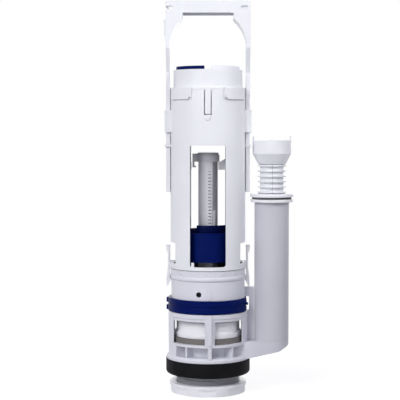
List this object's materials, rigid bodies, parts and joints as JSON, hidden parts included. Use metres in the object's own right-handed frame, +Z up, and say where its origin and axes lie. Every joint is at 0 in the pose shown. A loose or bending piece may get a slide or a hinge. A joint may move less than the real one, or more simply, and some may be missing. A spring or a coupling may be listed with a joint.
{
  "type": "toilet flush valve",
  "caption": "Dual-flush cistern outlet valve with a windowed base, side overflow with sliding funnel, lift tube, float cup, push plates and a telescopic bridge.",
  "frame": {"origin": "on the outlet axis, at the end of the outlet shank", "axes": "+Z up along the outlet axis, +X towards the overflow pipe, -Y the front"},
  "size_m": [0.1286, 0.084, 0.3876],
  "materials": {
    "white_plastic": "satin",
    "pipe_plastic": "satin",
    "inner_plastic": "satin",
    "blue_plastic": "satin",
    "black_rubber": "matte",
    "grey_silicone": "matte",
    "spring_steel": "satin"
  },
  "bodies": {
    "valve_body": {"outlet_base": "white_plastic", "valve_cage": "white_plastic", "sealing_washer": "black_rubber", "valve_frame": "white_plastic", "drum_housing": "white_plastic", "half_rocker_pin": "spring_steel", "full_rocker_pin": "spring_steel", "left_latch_pin": "spring_steel", "right_latch_pin": "spring_steel", "half_flush_spring": "spring_steel", "full_flush_spring": "spring_steel", "overflow_pipe": "pipe_plastic", "overflow_seal": "black_rubber", "overflow_cap": "pipe_plastic"},
    "full_plate": {"full_flush_plate": "white_plastic"},
    "half_plate": {"half_flush_plate": "blue_plastic"},
    "full_rocker": {"full_flush_rocker": "inner_plastic"},
    "half_rocker": {"half_flush_rocker": "inner_plastic"},
    "full_bar": {"full_lift_bar": "inner_plastic"},
    "half_bar": {"half_lift_bar": "inner_plastic"},
    "lift_assembly": {"lift_tube": "inner_plastic", "tube_cap": "inner_plastic", "valve_plunger": "white_plastic", "valve_seal": "grey_silicone", "seal_retainer": "white_plastic"},
    "float": {"float_cup": "blue_plastic"},
    "bridge_body": {"bridge": "white_plastic"},
    "funnel": {"overflow_funnel": "white_plastic"},
    "ring": {"lock_ring": "blue_plastic"},
    "left_latch": {"left_release_latch": "white_plastic"},
    "right_latch": {"right_release_latch": "white_plastic"},
    "nut": {"back_nut": "white_plastic"}
  },
  "joints": [
    {"name": "full_flush_push", "type": "slide", "parent": "valve_body", "child": "full_plate", "axis": [0, 0, -1], "range_m": [0, 0.00785], "stiffness_N_per_m": 300, "springref_m": -0.006, "deforming": ["full_flush_spring"]},
    {"name": "half_flush_push", "type": "slide", "parent": "valve_body", "child": "half_plate", "axis": [0, 0, -1], "range_m": [0, 0.00785], "stiffness_N_per_m": 300, "springref_m": -0.006, "deforming": ["half_flush_spring"]},
    {"name": "full_rocker_turn", "type": "hinge", "parent": "valve_body", "child": "full_rocker", "pos_m": [0.0175, 0, 0.2918], "axis": [0, -1, 0], "range_deg": [0, 40]},
    {"name": "half_rocker_turn", "type": "hinge", "parent": "valve_body", "child": "half_rocker", "pos_m": [-0.0175, 0, 0.2918], "axis": [0, 1, 0], "range_deg": [0, 40]},
    {"name": "full_bar_lift", "type": "slide", "parent": "valve_body", "child": "full_bar", "axis": [0, 0, 1], "range_m": [0, 0.00855]},
    {"name": "half_bar_lift", "type": "slide", "parent": "valve_body", "child": "half_bar", "axis": [0, 0, 1], "range_m": [0, 0.00855]},
    {"name": "tube_lift", "type": "slide", "parent": "valve_body", "child": "lift_assembly", "axis": [0, 0, 1], "range_m": [0, 0.00855]},
    {"name": "float_adjust", "type": "slide", "parent": "lift_assembly", "child": "float", "axis": [0, 0, 1], "range_m": [-0.0035, 0.045]},
    {"name": "bridge_adjust", "type": "slide", "parent": "valve_body", "child": "bridge_body", "axis": [0, 0, 1], "range_m": [-0.035, 0.02]},
    {"name": "overflow_adjust", "type": "slide", "parent": "valve_body", "child": "funnel", "axis": [0, 0, 1], "range_m": [-0.022, 0.033]},
    {"name": "lock_ring_turn", "type": "hinge", "parent": "valve_body", "child": "ring", "pos_m": [0, 0, 0.08835], "axis": [0, 0, 1], "range_deg": [-11, 11]},
    {"name": "left_latch_turn", "type": "hinge", "parent": "valve_body", "child": "left_latch", "pos_m": [-0.0352, 0, 0.128], "axis": [0, 1, 0], "range_deg": [0, 8], "stiffness_Nm_per_rad": 0.05, "springref_deg": -5.73},
    {"name": "right_latch_turn", "type": "hinge", "parent": "valve_body", "child": "right_latch", "pos_m": [0.0352, 0, 0.128], "axis": [0, -1, 0], "range_deg": [0, 8], "stiffness_Nm_per_rad": 0.05, "springref_deg": -5.73},
    {"name": "back_nut_turn", "type": "hinge", "parent": "valve_body", "child": "nut", "pos_m": [0, 0, 0.005], "axis": [0, 0, 1], "continuous": true}
  ],
  "couplings": [
    {"joint": "full_rocker_turn", "follows": "full_flush_push", "rad_per_m": 88.748},
    {"joint": "full_bar_lift", "follows": "full_flush_push", "ratio": 1.087},
    {"joint": "half_rocker_turn", "follows": "half_flush_push", "rad_per_m": 88.748},
    {"joint": "half_bar_lift", "follows": "half_flush_push", "ratio": 1.087},
    {"joint": "tube_lift", "follows": "full_flush_push", "ratio": 1.087}
  ]
}
